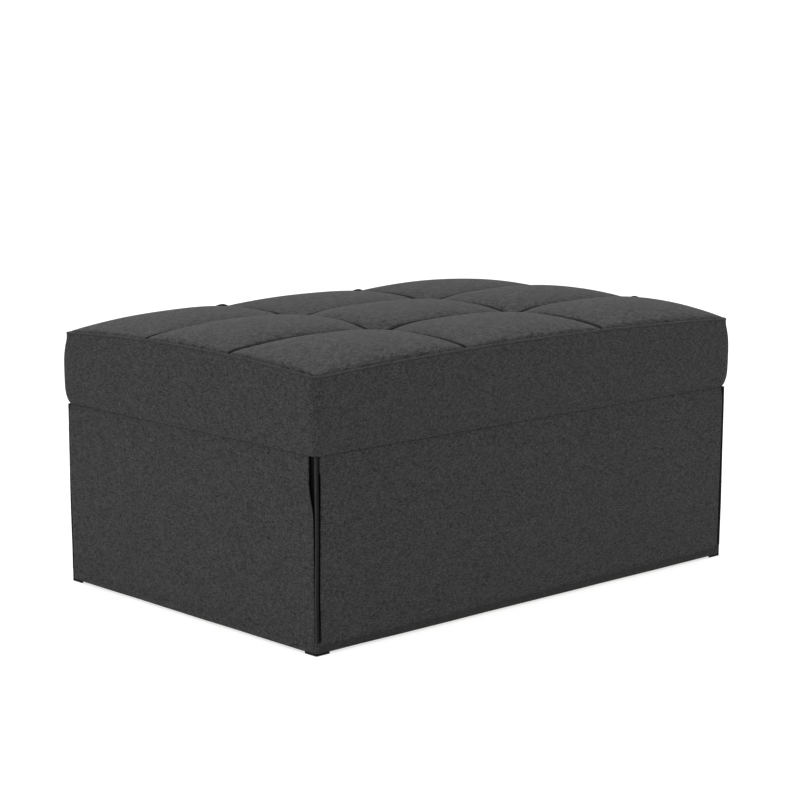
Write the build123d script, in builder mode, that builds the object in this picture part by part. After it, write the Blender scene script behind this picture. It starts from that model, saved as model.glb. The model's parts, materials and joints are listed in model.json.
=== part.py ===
from build123d import *
import os

# A guest bed of three folding sections, stowed as an ottoman under a quilted slipcover.
# Lengths are in millimetres. X runs along the long side and +Z is up. The origin is on the floor
# at the middle of the footprint. The sections fold like a letter Z and open towards -Y.

# Clearances
rest_gap = 0.3        # between soft pieces and what they lie against
seam_gap = 0.3        # between sewn pieces of the cover
bore_clearance = 0.05 # round a pin that turns in a hole
fit_gap = 0.1         # round a piece that is pushed into another

# Bed sections
section_length = 596  # along Y, frame end to frame end
frame_width = 910     # along X, outside the side rails
leg_height = 118      # floor to the underside of the base frame
rail = 25             # square tube of the section frames
rail_wall = 1.5
rail_corner = 3
fold_gap = 10         # between the frame ends of two sections when the bed is open
hinge_gap = 6         # between the middle and the top frame when folded

# Mattress pads
pad_thickness = 75
pad_inset = 19        # side of the pad to the side of the frame
pad_overhang = 4      # past each end of the frame
pad_corner = 18
pad_edge = 6

# Slats and their holders
slat_count = 7
slat_width = 52
slat_thickness = 6
slat_drop = 1.4       # slat face below the top of the frame
slat_end_gap = 3      # slat end to side rail
holder_length = 20
holder_wall = 1.5
holder_lip = 1

# Fixed legs of the base section
leg_radius = 12.5
leg_wall = 1.5
leg_setback = 46      # leg axis to the end of the frame
foot_radius = 17
foot_height = 14
foot_floor = 3        # rubber under the tube

# Raised hinge between the base and the middle section
plate_thickness = 4
plate_eye = 12
plate_foot = 92       # length of the plate along the rail
plate_inset = 8       # side of the rail to the base plate
plate_edge = 2
washer_gap = 0.6
pivot_radius = 4
pivot_head_radius = 8
pivot_head = 4

# Butt hinges between the middle and the top section
butt_offset = 300     # hinge middle to the centre line
butt_length = 80
leaf_thickness = 2
leaf_depth = 32
knuckle_radius = 5
knuckle_gap = 0.3
hinge_pin_radius = 2.5
hinge_pin_head = 1.5
hinge_pin_head_radius = 4

# Fold-flat leg frames
post_radius = 7
post_depth = 8.2      # post axis to the underside of the frame
post_side_gap = 1.6
post_setback = 38     # post axis to the end of the frame
post_floor_gap = 0.5
bar_drop = 80         # cross bar to the pivot
stud_radius = 3
stud_head_radius = 6
stud_head = 3
cap_radius = 8.1
cap_length = 18
cap_floor = 3

# Slipcover
side_room = 40        # frame to the line between two top corners, along X
end_room = 31         # the same along Y
cloth = 3.5
panel_edge = 16.2     # quilted panel at its corners
edge_rise = 11        # top edge above its corners, at mid side
edge_pull = 5         # top edge drawn in from the corners, at mid side
band_height = 125     # boxing, top edge to waist seam at a corner
band_bulge = 3
waist_inset = 2.5
skirt_belly = 1.5
belly_drop = 45       # waist seam to the fullest part of the skirt
hem_height = 5
hem_inset = 2
tile_count = 3
tile_crown = 19
seam_rise = 18.5        # where two seams of the quilting cross, above the corners
welt_height = 3
welt_lip = 1
strip_width = 7       # corner strip of the pleat, along each face
strip_inset = 0.5
slit = 1.5
pleat_wing = 31       # pleat backing behind the skirt, from the corner
pleat_cloth = 2
tab_leg = 30
tab_height = 22
tab_lift = 0.5
overrun = 20          # for cuts and joints that run past a piece

# Places worked out from the sizes above
section_half = section_length / 2
frame_half = frame_width / 2
rail_inner = frame_half - rail
pad_length = section_length + 2 * pad_overhang
pad_width = frame_width - 2 * pad_inset
hinge_reach = section_half + fold_gap / 2

base_underside = leg_height
fold_height = base_underside + rail + rest_gap + pad_thickness + rest_gap
middle_underside = 2 * fold_height - base_underside
butt_height = middle_underside + hinge_gap / 2
top_underside = middle_underside + hinge_gap
stack_top = top_underside + rail + rest_gap + pad_thickness

half_width = frame_half + side_room
half_depth = section_half + end_room
panel_bottom = stack_top + rest_gap
corner_height = panel_bottom + panel_edge
band_top = corner_height - welt_height - seam_gap
waist_height = corner_height - band_height
back_plane = max(hem_inset, waist_inset) + cloth + seam_gap

# Each section: height of its underside, and +1 where its sleeping face looks up
sections = {
    "base": (base_underside, 1),
    "middle": (middle_underside, -1),
    "top": (top_underside, 1),
}
sides = {"front": (0, -1), "rear": (0, 1), "left": (-1, 0), "right": (1, 0)}
hands = {"left": -1, "right": 1}
ends = {"front": -1, "rear": 1}


def save(builder, name):
    """Label a finished piece and write it."""
    builder.part.label = name
    export_step(builder.part, f"parts/{name}.step")


def level(section, height):
    """World height of a plane that lies so far from the underside of a section."""
    underside, up = sections[section]
    return underside + up * height


def make_side_rails(section):
    for hand, sign in hands.items():
        with BuildPart() as side_rail:
            with BuildSketch(Plane.XZ):
                with Locations((sign * (frame_half - rail / 2), level(section, rail / 2))):
                    RectangleRounded(rail, rail, rail_corner)
                    RectangleRounded(
                        rail - 2 * rail_wall, rail - 2 * rail_wall, rail_corner - rail_wall, mode=Mode.SUBTRACT
                    )
            extrude(amount=section_half, both=True)
        save(side_rail, f"{section}_rail_{hand}")


def make_end_rails(section):
    for end, sign in ends.items():
        with BuildPart() as end_rail:
            with BuildSketch(Plane.YZ):
                with Locations((sign * (section_half - rail / 2), level(section, rail / 2))):
                    RectangleRounded(rail, rail, rail_corner)
                    RectangleRounded(
                        rail - 2 * rail_wall, rail - 2 * rail_wall, rail_corner - rail_wall, mode=Mode.SUBTRACT
                    )
            extrude(amount=rail_inner, both=True)
        save(end_rail, f"{section}_rail_{end}")


def make_slats(section):
    pitch = (section_length - 2 * rail) / slat_count
    slat_half = rail_inner - slat_end_gap
    slat_middle = level(section, rail - slat_drop - slat_thickness / 2)
    with BuildPart() as slats:
        with BuildSketch(Plane.XY.offset(slat_middle)):
            with GridLocations(2 * slat_half, pitch, 1, slat_count):
                Rectangle(2 * slat_half, slat_width)
        extrude(amount=slat_thickness / 2, both=True)
    save(slats, f"{section}_slats")

    holder_reach = 2 * rail_inner - holder_length
    with BuildPart() as holders:
        with BuildSketch(Plane.XY.offset(slat_middle)):
            with GridLocations(holder_reach, pitch, 2, slat_count):
                Rectangle(holder_length, slat_width + 2 * holder_wall)
        extrude(amount=slat_thickness / 2 + holder_lip, both=True)
        with BuildSketch(Plane.XY.offset(slat_middle)):
            with GridLocations(2 * slat_half, pitch, 1, slat_count):
                Rectangle(2 * slat_half + 2 * fit_gap, slat_width + 2 * fit_gap)
        extrude(amount=slat_thickness / 2 + fit_gap, both=True, mode=Mode.SUBTRACT)
    save(holders, f"{section}_slat_holders")


def make_pad(section):
    pad_middle = level(section, rail + rest_gap + pad_thickness / 2)
    with BuildPart() as pad:
        with BuildSketch(Plane.XY.offset(pad_middle)):
            RectangleRounded(pad_width, pad_length, pad_corner)
        extrude(amount=pad_thickness / 2, both=True)
        fillet(pad.faces().sort_by(Axis.Z)[0].edges() + pad.faces().sort_by(Axis.Z)[-1].edges(), pad_edge)
    save(pad, f"{section}_mattress")


def make_base_legs():
    leg_y = section_half - leg_setback
    leg_x = frame_half - rail / 2
    for end, end_sign in ends.items():
        for hand, hand_sign in hands.items():
            with BuildPart() as leg:
                with BuildSketch(Plane.XY.offset(foot_floor)):
                    with Locations((hand_sign * leg_x, end_sign * leg_y)):
                        Circle(leg_radius)
                        Circle(leg_radius - leg_wall, mode=Mode.SUBTRACT)
                extrude(amount=base_underside - foot_floor)
            save(leg, f"base_leg_{end}_{hand}")

    with BuildPart() as feet:
        with BuildSketch():
            with GridLocations(2 * leg_x, 2 * leg_y, 2, 2):
                Circle(foot_radius)
        extrude(amount=foot_height)
        with BuildSketch(Plane.XY.offset(foot_floor)):
            with GridLocations(2 * leg_x, 2 * leg_y, 2, 2):
                Circle(leg_radius + fit_gap)
        extrude(amount=foot_height, mode=Mode.SUBTRACT)
    save(feet, "base_feet")


def make_raised_hinge():
    """Plates that lift the pivot to the face where the base and the middle pad meet."""
    base_face = frame_half - plate_inset
    plate_outer = {"base": base_face, "middle": base_face + washer_gap + plate_thickness}
    for section, outer in plate_outer.items():
        seat = level(section, rail)
        up = sections[section][1]
        for hand, sign in hands.items():
            with BuildPart() as plate:
                with BuildSketch(Plane.YZ.offset(sign * (outer - plate_thickness / 2))):
                    with Locations((plate_foot / 2 - section_half, seat + up * plate_edge / 2)):
                        Rectangle(plate_foot, plate_edge)
                    with Locations((-hinge_reach, fold_height)):
                        Circle(plate_eye)
                    make_hull()
                    with Locations((-hinge_reach, fold_height)):
                        Circle(pivot_radius + bore_clearance, mode=Mode.SUBTRACT)
                extrude(amount=plate_thickness / 2, both=True)
            save(plate, f"{section}_hinge_plate_{hand}")

    head_face = base_face + washer_gap + plate_thickness + washer_gap
    nut_face = base_face - plate_thickness - fit_gap
    with BuildPart() as bolts:
        for sign in hands.values():
            with BuildSketch(Plane.YZ.offset(sign * nut_face)):
                with Locations((-hinge_reach, fold_height)):
                    Circle(pivot_radius)
            extrude(amount=sign * (head_face - nut_face))
            with BuildSketch(Plane.YZ.offset(sign * head_face)):
                with Locations((-hinge_reach, fold_height)):
                    Circle(pivot_head_radius)
            extrude(amount=sign * pivot_head)
            with BuildSketch(Plane.YZ.offset(sign * nut_face)):
                with Locations((-hinge_reach, fold_height)):
                    RegularPolygon(pivot_head_radius, 6)
            extrude(amount=-sign * pivot_head)
    save(bolts, "fold_pivot_bolts")


def make_butt_hinges():
    """Leaves on the undersides of the middle and the top frame, with knuckles round one pin."""
    knuckle = butt_length / 3
    own_knuckles = {"middle": (-1, 1), "top": (0,)}
    for section, places in own_knuckles.items():
        underside, up = sections[section]
        leaf_middle = underside - up * leaf_thickness / 2
        leaf_end = hinge_reach - knuckle_radius - knuckle_gap
        with BuildPart() as leaves:
            for sign in hands.values():
                centre = sign * butt_offset
                with BuildSketch(Plane.YZ.offset(centre)):
                    with Locations((leaf_end - leaf_depth / 2, leaf_middle)):
                        Rectangle(leaf_depth, leaf_thickness)
                extrude(amount=butt_length / 2, both=True)
                for place in places:
                    with BuildSketch(Plane.YZ.offset(centre + place * knuckle)):
                        with Locations((hinge_reach, butt_height)):
                            Circle(knuckle_radius)
                        with Locations(((leaf_end + hinge_reach) / 2, leaf_middle)):
                            Rectangle(hinge_reach - leaf_end, leaf_thickness)
                        with Locations((hinge_reach, butt_height)):
                            Circle(hinge_pin_radius + bore_clearance, mode=Mode.SUBTRACT)
                    extrude(amount=knuckle / 2 - knuckle_gap, both=True)
        save(leaves, f"{section}_hinge_leaves")

    with BuildPart() as pins:
        for sign in hands.values():
            with BuildSketch(Plane.YZ.offset(sign * butt_offset)):
                with Locations((hinge_reach, butt_height)):
                    Circle(hinge_pin_radius)
            extrude(amount=butt_length / 2, both=True)
            for tip in hands.values():
                with BuildSketch(Plane.YZ.offset(sign * butt_offset + tip * butt_length / 2)):
                    with Locations((hinge_reach, butt_height)):
                        Circle(hinge_pin_head_radius)
                extrude(amount=tip * hinge_pin_head)
    save(pins, "hinge_pins")


def make_leg_frame(section, toward):
    """A leg frame folded flat into a section; its feet point along Y by the sign of toward."""
    axis_height = level(section, post_depth)
    axis_y = -toward * (section_half - post_setback)
    post_x = rail_inner - post_side_gap - post_radius
    reach = leg_height + post_depth - post_floor_gap
    post_end = axis_y + toward * (reach - cap_floor)
    for hand, sign in hands.items():
        with BuildPart() as post:
            with Locations((sign * post_x, axis_y, axis_height)):
                Sphere(post_radius)
            with BuildSketch(Plane.XZ.offset(-axis_y)):
                with Locations((sign * post_x, axis_height)):
                    Circle(post_radius)
            extrude(amount=-toward * (reach - cap_floor))
            with BuildSketch(Plane.YZ.offset(sign * (post_x - post_radius - overrun))):
                with Locations((axis_y, axis_height)):
                    Circle(stud_radius + bore_clearance)
            extrude(amount=sign * (2 * post_radius + 2 * overrun), mode=Mode.SUBTRACT)
        save(post, f"{section}_leg_post_{hand}")

    bar_y = axis_y + toward * bar_drop
    with BuildPart() as bar:
        with BuildSketch(Plane.YZ):
            with Locations((bar_y, axis_height)):
                Circle(post_radius)
        extrude(amount=post_x, both=True)
        with BuildSketch(Plane.XZ.offset(-bar_y)):
            with Locations((-post_x, axis_height), (post_x, axis_height)):
                Circle(post_radius + fit_gap)
        extrude(amount=post_radius + fit_gap, both=True, mode=Mode.SUBTRACT)
    save(bar, f"{section}_leg_bar")

    with BuildPart() as caps:
        cap_tip = axis_y + toward * reach
        with BuildSketch(Plane.XZ.offset(-cap_tip)):
            with Locations((-post_x, axis_height), (post_x, axis_height)):
                Circle(cap_radius)
        extrude(amount=toward * cap_length)
        with BuildSketch(Plane.XZ.offset(-post_end)):
            with Locations((-post_x, axis_height), (post_x, axis_height)):
                Circle(post_radius + fit_gap)
        extrude(amount=toward * cap_length, mode=Mode.SUBTRACT)
    save(caps, f"{section}_leg_caps")

    head_face = rail_inner - 2 * post_side_gap - 2 * post_radius
    with BuildPart() as studs:
        for sign in hands.values():
            with BuildSketch(Plane.YZ.offset(sign * rail_inner)):
                with Locations((axis_y, axis_height)):
                    Circle(stud_radius)
            extrude(amount=-sign * (rail_inner - head_face))
            with BuildSketch(Plane.YZ.offset(sign * head_face)):
                with Locations((axis_y, axis_height)):
                    Circle(stud_head_radius)
            extrude(amount=-sign * stud_head)
    save(studs, f"{section}_leg_studs")


def side_plane(out):
    """Plane across one side of the cover: local x points out of that side and local y up."""
    return Plane(origin=(0, 0, 0), x_dir=(out[0], out[1], 0), z_dir=(out[1], -out[0], 0))


def half_sizes(out):
    """Distance of a side from the centre, and half its length."""
    return (half_depth, half_width) if out[1] else (half_width, half_depth)


def arch(share):
    """The top edge between two corners, as a share of its rise and of its pull."""
    return 1 - share**2


def band_outline(distance, share, inward):
    """Waist, belly and top points of the boxing, moved inward by so much."""
    top = band_top + edge_rise * arch(share)
    waist = (distance - waist_inset - inward, waist_height)
    belly = (distance + band_bulge - inward, (waist_height + band_top) / 2)
    edge = (distance - edge_pull * arch(share) - inward, top)
    return waist, belly, edge


def mitre(out):
    """Cut both ends of a side piece at half the corner's angle."""
    distance, reach = half_sizes(out)
    for sign in (-1, 1):
        along = Vector(out[1], -out[0], 0) * sign
        outward = Vector(out[0], out[1], 0)
        corner = outward * distance + along * (reach - seam_gap)
        split(bisect_by=Plane(origin=corner, z_dir=along - outward), keep=Keep.BOTTOM)


def stations(reach):
    """Places along a side, as shares of its half length: past a corner, two seams, past a corner."""
    past = 1 + overrun / reach
    return (-past, -past / tile_count, past / tile_count, past)


def make_boxing(name, out):
    distance, reach = half_sizes(out)
    with BuildPart() as band:
        for share in stations(reach):
            with BuildSketch(side_plane(out).offset(share * reach)):
                outer = band_outline(distance, share, 0)
                inner = band_outline(distance, share, cloth)
                with BuildLine():
                    ThreePointArc(*outer)
                    Line(outer[2], inner[2])
                    ThreePointArc(*inner)
                    Line(inner[0], outer[0])
                make_face()
        loft()
        mitre(out)
    save(band, f"boxing_{name}")


def make_welt():
    """Sewn flange along the whole top edge, level with the rim of the quilted panel."""
    with BuildPart() as welt:
        for out in sides.values():
            distance, reach = half_sizes(out)
            with BuildPart(mode=Mode.PRIVATE) as run:
                for share in stations(reach):
                    edge = band_outline(distance, share, 0)[2]
                    with BuildSketch(side_plane(out).offset(share * reach)):
                        with Locations((edge[0] + welt_lip, edge[1] + seam_gap)):
                            Rectangle(cloth + welt_lip, welt_height, align=(Align.MAX, Align.MIN))
                loft()
                mitre(out)
            add(run.part)
    save(welt, "top_welt")


def make_skirt(name, out):
    distance, reach = half_sizes(out)
    length = reach - strip_width - slit
    top = waist_height - seam_gap
    belly = waist_height - belly_drop
    with BuildPart() as skirt:
        with BuildSketch(side_plane(out)):
            with BuildLine():
                for inward in (0, cloth):
                    waist_point = (distance - waist_inset - inward, top)
                    knee_point = (distance + skirt_belly / 2 - inward, (top + belly) / 2)
                    belly_point = (distance + skirt_belly - inward, belly)
                    hem_point = (distance - hem_inset - inward, hem_height)
                    ThreePointArc(waist_point, knee_point, belly_point)
                    Line(belly_point, hem_point)
                Line((distance - waist_inset, top), (distance - waist_inset - cloth, top))
                Line((distance - hem_inset, hem_height), (distance - hem_inset - cloth, hem_height))
            make_face()
        extrude(amount=length, both=True)
    save(skirt, f"skirt_{name}")


def corner_outline(hand_sign, end_sign, points):
    """Closed outline at a corner, from distances inward along X and Y."""
    Polyline(
        *[(hand_sign * (half_width - a), end_sign * (half_depth - b)) for a, b in points], close=True
    )


def make_pleats(end, end_sign):
    """Backing of the corner slits, with the narrow strip that shows between them."""
    inner = back_plane + pleat_cloth
    outline = (
        (strip_inset, strip_inset),
        (strip_width, strip_inset),
        (strip_width, back_plane),
        (pleat_wing, back_plane),
        (pleat_wing, inner),
        (inner, inner),
        (inner, pleat_wing),
        (back_plane, pleat_wing),
        (back_plane, strip_width),
        (strip_inset, strip_width),
    )
    with BuildPart() as pleats:
        for sign in hands.values():
            with BuildSketch(Plane.XY.offset(tab_height)):
                with BuildLine():
                    corner_outline(sign, end_sign, outline)
                make_face()
        extrude(amount=waist_height - seam_gap - tab_height)
    save(pleats, f"pleats_{end}")


def angle_outline(leg):
    """An angle of cloth at a corner, flush with the hem, with legs so long."""
    inner = hem_inset + cloth
    return (
        (hem_inset, hem_inset),
        (leg, hem_inset),
        (leg, inner),
        (inner, inner),
        (inner, leg),
        (hem_inset, leg),
    )


def make_tabs():
    """Corner tabs that close the slits at the hem and stand on the floor."""
    sole_top = hem_height - seam_gap
    with BuildPart() as tabs:
        for end_sign in ends.values():
            for sign in hands.values():
                with BuildSketch(Plane.XY.offset(tab_lift)):
                    with BuildLine():
                        corner_outline(sign, end_sign, angle_outline(tab_leg))
                    make_face()
        extrude(amount=sole_top - tab_lift)
        for end_sign in ends.values():
            for sign in hands.values():
                with BuildSketch(Plane.XY.offset(sole_top)):
                    with BuildLine():
                        corner_outline(sign, end_sign, angle_outline(strip_width + slit - seam_gap))
                    make_face()
        extrude(amount=tab_height - seam_gap - sole_top)
    save(tabs, "corner_tabs")


# Fullness of a tile along its length, as shares of its length and of its crown
tile_station_shares = (0, 0.15, 0.5, 0.85, 1)
tile_fullness_shares = (0.05, 0.75, 1, 0.75, 0.05)


def seam_height(column, row):
    """Height of the quilting where two seam lines meet."""
    outer = (column in (0, tile_count)) + (row in (0, tile_count))
    third_rise = edge_rise * arch(1 - 2 / tile_count)
    return corner_height + (seam_rise, third_rise, 0)[outer]


def make_top_panel():
    """Quilted panel: crowned tiles between sewn channels, drawn in between its corners."""
    tile_x = 2 * half_width / tile_count
    tile_y = 2 * half_depth / tile_count
    edge_arch = edge_rise / tile_count**2
    edge = cloth + 2 * seam_gap
    with BuildPart() as top_panel:
        for column in range(tile_count):
            for row in range(tile_count):
                near, far = [row * tile_y - half_depth, (row + 1) * tile_y - half_depth]
                for share, fullness in zip(tile_station_shares, tile_fullness_shares):
                    along = 4 * share * (1 - share) * edge_arch
                    heights = []
                    for line in (row, row + 1):
                        start, end = seam_height(column, line), seam_height(column + 1, line)
                        rise = along if line in (0, tile_count) else 0
                        heights.append(start + (end - start) * share + rise)
                    on_edge = column + share in (0, tile_count)
                    crown = tile_crown * fullness + (edge_arch if on_edge else 0)
                    middle = sum(heights) / 2 + crown
                    with BuildSketch(Plane.YZ.offset((column + share) * tile_x - half_width)):
                        with BuildLine():
                            ThreePointArc((near, heights[0]), ((near + far) / 2, middle), (far, heights[1]))
                            Polyline((far, heights[1]), (far, panel_bottom), (near, panel_bottom), (near, heights[0]))
                        make_face()
                loft()
        with BuildSketch(Plane.XY.offset(panel_bottom)):
            corner_x, corner_y = half_width - edge, half_depth - edge
            with BuildLine():
                for sign in (-1, 1):
                    ThreePointArc(
                        (-corner_x, sign * corner_y), (0, sign * (corner_y - edge_pull)), (corner_x, sign * corner_y)
                    )
                    ThreePointArc(
                        (sign * corner_x, -corner_y), (sign * (corner_x - edge_pull), 0), (sign * corner_x, corner_y)
                    )
            make_face()
        extrude(amount=panel_edge + edge_rise + tile_crown + overrun, mode=Mode.INTERSECT)
    save(top_panel, "top_panel")


os.makedirs("parts", exist_ok=True)
for section_name in sections:
    make_side_rails(section_name)
    make_end_rails(section_name)
    make_slats(section_name)
    make_pad(section_name)
make_base_legs()
make_raised_hinge()
make_butt_hinges()
make_leg_frame("middle", -1)
make_leg_frame("top", 1)
make_top_panel()
make_welt()
for side_name, outward_sign in sides.items():
    make_boxing(side_name, outward_sign)
    make_skirt(side_name, outward_sign)
for end_name, end_direction in ends.items():
    make_pleats(end_name, end_direction)
make_tabs()
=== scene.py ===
"""Looks of a fold out ottoman guest bed: quilted slipcover, mattress pads, and finishes for the frame."""
import json
import math

import bmesh
import bpy
import numpy as np
from mathutils import Matrix, Vector


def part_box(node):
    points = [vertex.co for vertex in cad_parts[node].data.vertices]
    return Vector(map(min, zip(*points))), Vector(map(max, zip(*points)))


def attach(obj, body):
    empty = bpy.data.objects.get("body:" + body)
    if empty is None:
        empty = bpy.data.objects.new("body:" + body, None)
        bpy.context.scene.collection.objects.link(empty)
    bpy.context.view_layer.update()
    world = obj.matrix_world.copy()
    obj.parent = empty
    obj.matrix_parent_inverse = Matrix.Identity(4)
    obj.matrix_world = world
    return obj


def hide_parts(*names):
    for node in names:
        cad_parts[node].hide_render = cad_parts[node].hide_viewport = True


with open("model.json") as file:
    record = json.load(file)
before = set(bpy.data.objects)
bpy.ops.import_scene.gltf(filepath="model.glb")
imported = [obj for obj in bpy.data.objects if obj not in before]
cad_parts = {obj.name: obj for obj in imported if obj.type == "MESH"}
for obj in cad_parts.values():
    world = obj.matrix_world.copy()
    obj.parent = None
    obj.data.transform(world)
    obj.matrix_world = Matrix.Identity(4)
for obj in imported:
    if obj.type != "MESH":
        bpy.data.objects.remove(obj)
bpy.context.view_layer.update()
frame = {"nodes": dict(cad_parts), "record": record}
nodes = frame["nodes"]
MM = 0.001

# Sizes of the slipcover in millimetres, as the solids have them
HALF_WIDTH, HALF_DEPTH = 495.0, 329.0
CORNER_HEIGHT, WAIST_HEIGHT = 442.0, 317.0
BAND_TOP = 438.7
BAND_LENGTH = BAND_TOP - WAIST_HEIGHT
PANEL_BOTTOM = 425.8
SEAM_GAP = 0.3
TILES = 3

# The cover's top edge rises and draws in from its corners to the middle of each side
EDGE_RISE, EDGE_PULL = 12.1, 3.9
LONG_ARCH, SHORT_ARCH = 2.17, 2.1        # how full that rise is on the long and the short sides
BAND_CORNER, SOFT_CORNER = 6.5, 15.0     # rounding of a corner, and of the softer one between front and left
SOFT_FROM = 0.4                          # share of the boxing's height from which that one is fully rounded
SOFT_ENDS = (("front", True), ("left", False))
CLOTH = 2.4                              # thickness of the doubled cover cloth
WAIST_INSET = 2.5
SEAM_DIP, SEAM_DIP_REACH = 0.3, 3.4      # how far the waist seam is drawn in
# How far the welt rises at the quilting seams, how broad that is, and where it is along each side
TUCKS = {
    "front": (0.8, 8, (-165, 165)), "rear": (7.8, 16, (-154, 183)),
    "left": (0.8, 8, (-110, 110)), "right": (9.4, 13, (-98, 112)),
}

SIDES = {"front": (0, -1), "rear": (0, 1), "left": (-1, 0), "right": (1, 0)}
random = np.random.default_rng(11)


# Materials

THREAD_STEP = 3.7      # keeps the uneven shades of neighbouring threads apart
DEPTH_SCALE = 60       # how fast the shades change with the third value of a cloth place
THREAD_TOP_HIGHLIGHT = 0.12   # painted highlight: how much lighter the tops of the threads are made, as if lit


class Graph:
    """A node material, built with short calls."""

    def __init__(self, name):
        self.material = bpy.data.materials.new(name)
        self.material.use_nodes = True
        self.tree = self.material.node_tree
        self.tree.nodes.clear()
        self.shader = self.add("ShaderNodeBsdfPrincipled")
        output = self.add("ShaderNodeOutputMaterial")
        self.tree.links.new(self.shader.outputs[0], output.inputs["Surface"])

    def add(self, kind, sockets=None, **settings):
        made = self.tree.nodes.new(kind)
        for key, value in settings.items():
            setattr(made, key, value)
        for key, value in (sockets or {}).items():
            self.set(made, key, value)
        return made

    def set(self, made, key, value):
        socket = made.inputs[key]
        if isinstance(value, bpy.types.NodeSocket):
            self.tree.links.new(value, socket)
        else:
            socket.default_value = value

    def shade(self, **sockets):
        for key, value in sockets.items():
            self.set(self.shader, key.replace("_", " "), value)

    def math(self, operation, *values):
        made = self.add("ShaderNodeMath", operation=operation)
        for index, value in enumerate(values):
            self.set(made, index, value)
        return made.outputs[0]

    def scaled(self, vector, scale):
        made = self.add("ShaderNodeVectorMath", operation="MULTIPLY")
        self.set(made, 0, vector)
        self.set(made, 1, scale)
        return made.outputs[0]

    def split(self, vector):
        return self.add("ShaderNodeSeparateXYZ", {"Vector": vector}).outputs

    def noise(self, vector, scale=1.0, detail=2.0, roughness=0.5):
        made = self.add(
            "ShaderNodeTexNoise", {"Vector": vector, "Scale": scale, "Detail": detail, "Roughness": roughness}
        )
        return made.outputs["Fac"]

    def spread(self, value, low, high, start=0.0, end=1.0):
        made = self.add(
            "ShaderNodeMapRange",
            {"Value": value, "From Min": low, "From Max": high, "To Min": start, "To Max": end},
        )
        return made.outputs[0]

    def mix(self, factor, first, second):
        made = self.add("ShaderNodeMix", data_type="RGBA")
        self.set(made, 0, factor)
        self.set(made, 6, first)
        self.set(made, 7, second)
        return made.outputs[2]

    def bump(self, height, relief):
        return self.add("ShaderNodeBump", {"Height": height, "Distance": relief * MM}).outputs[0]


def grey(value, warm=0.0):
    return (value * (1 + warm), value, value * (1 - warm), 1)


def woven(name, tone, contrast, pitch=2.6, relief=0.22, sheen=0.05, warm=0.0, range_of_shade=0.18,
          mottle=(80, 0.12), slub=(130, 205)):
    """Plain weave: each thread has its own uneven shade, and passes over and under those that cross it.

    pitch is the length of two threads in mm; mottle is the scale and the strength of broader blotches, and
    slub is how fast the shade changes along the threads of each direction, per metre."""
    g = Graph(name)
    place = g.add("ShaderNodeAttribute", attribute_name="cloth_place").outputs["Vector"]
    turns = 2 * math.pi / (pitch * MM)
    threads_per_metre = 2 / (pitch * MM)
    wave = g.split(g.scaled(place, (turns, turns, 1)))
    over = g.math("MULTIPLY", g.math("SINE", wave[0]), g.math("SINE", wave[1]))
    count = g.split(g.scaled(place, (threads_per_metre, threads_per_metre, 1)))
    along = g.split(g.scaled(place, (slub[0], slub[1], DEPTH_SCALE)))
    shades = []
    for across, lengthwise in ((0, 1), (1, 0)):
        thread = g.math("MULTIPLY", g.math("FLOOR", count[across]), THREAD_STEP)
        spot = g.add("ShaderNodeCombineXYZ", {0: thread, 1: along[lengthwise], 2: along[2]})
        shades.append(g.noise(spot.outputs[0], detail=2, roughness=0.6))
    top = g.spread(over, -0.25, 0.25)
    beneath = g.math("MULTIPLY", g.math("SUBTRACT", 1.0, top), shades[1])
    shade = g.math("ADD", g.math("MULTIPLY", top, shades[0]), beneath)
    blotch = g.noise(g.scaled(place, (mottle[0], mottle[0], DEPTH_SCALE)), detail=3)
    tinted = g.spread(shade, 0.5 - range_of_shade, 0.5 + range_of_shade)
    tinted = g.math("MULTIPLY_ADD", g.spread(blotch, 0.3, 0.7, -1, 1), mottle[1], tinted)
    tinted = g.math("MULTIPLY_ADD", g.math("ABSOLUTE", over), THREAD_TOP_HIGHLIGHT, tinted)
    colour = g.mix(tinted, grey(tone * (1 - contrast), warm), grey(tone * (1 + contrast), warm))
    height = g.math("MULTIPLY_ADD", shade, 1.5, g.math("ABSOLUTE", over))
    g.shade(
        Base_Color=colour, Roughness=0.92, Specular_IOR_Level=0.14, Sheen_Weight=sheen, Sheen_Roughness=0.5,
        Normal=g.bump(height, relief),
    )
    return g.material


def plain_coat(name, tone, grain, roughness, relief, specular=0.5):
    """Painted, moulded or rubber surface: fine grain, with a slightly uneven gloss."""
    g = Graph(name)
    place = g.add("ShaderNodeTexCoord").outputs["Object"]
    fine = g.noise(place, scale=grain, detail=2)
    broad = g.noise(place, scale=24, detail=3)
    g.shade(
        Base_Color=g.mix(g.spread(broad, 0.3, 0.7), grey(tone * 0.85), grey(tone * 1.2)),
        Roughness=g.spread(broad, 0.25, 0.75, roughness - 0.06, roughness + 0.08),
        Specular_IOR_Level=specular,
        Normal=g.bump(fine, relief),
    )
    return g.material


def plated(name):
    """Zinc plating: bright metal with a faint yellowish cast and fine drawing lines."""
    g = Graph(name)
    place = g.add("ShaderNodeTexCoord").outputs["Object"]
    lines = g.noise(g.scaled(place, (300, 2600, 2600)), detail=2)
    cast = g.noise(place, scale=60, detail=3)
    g.shade(
        Base_Color=g.mix(g.spread(cast, 0.3, 0.7), (0.50, 0.50, 0.52, 1), (0.66, 0.64, 0.57, 1)),
        Metallic=1.0,
        Roughness=g.spread(lines, 0.3, 0.7, 0.26, 0.42),
        Normal=g.bump(lines, 0.03),
    )
    return g.material


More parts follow.
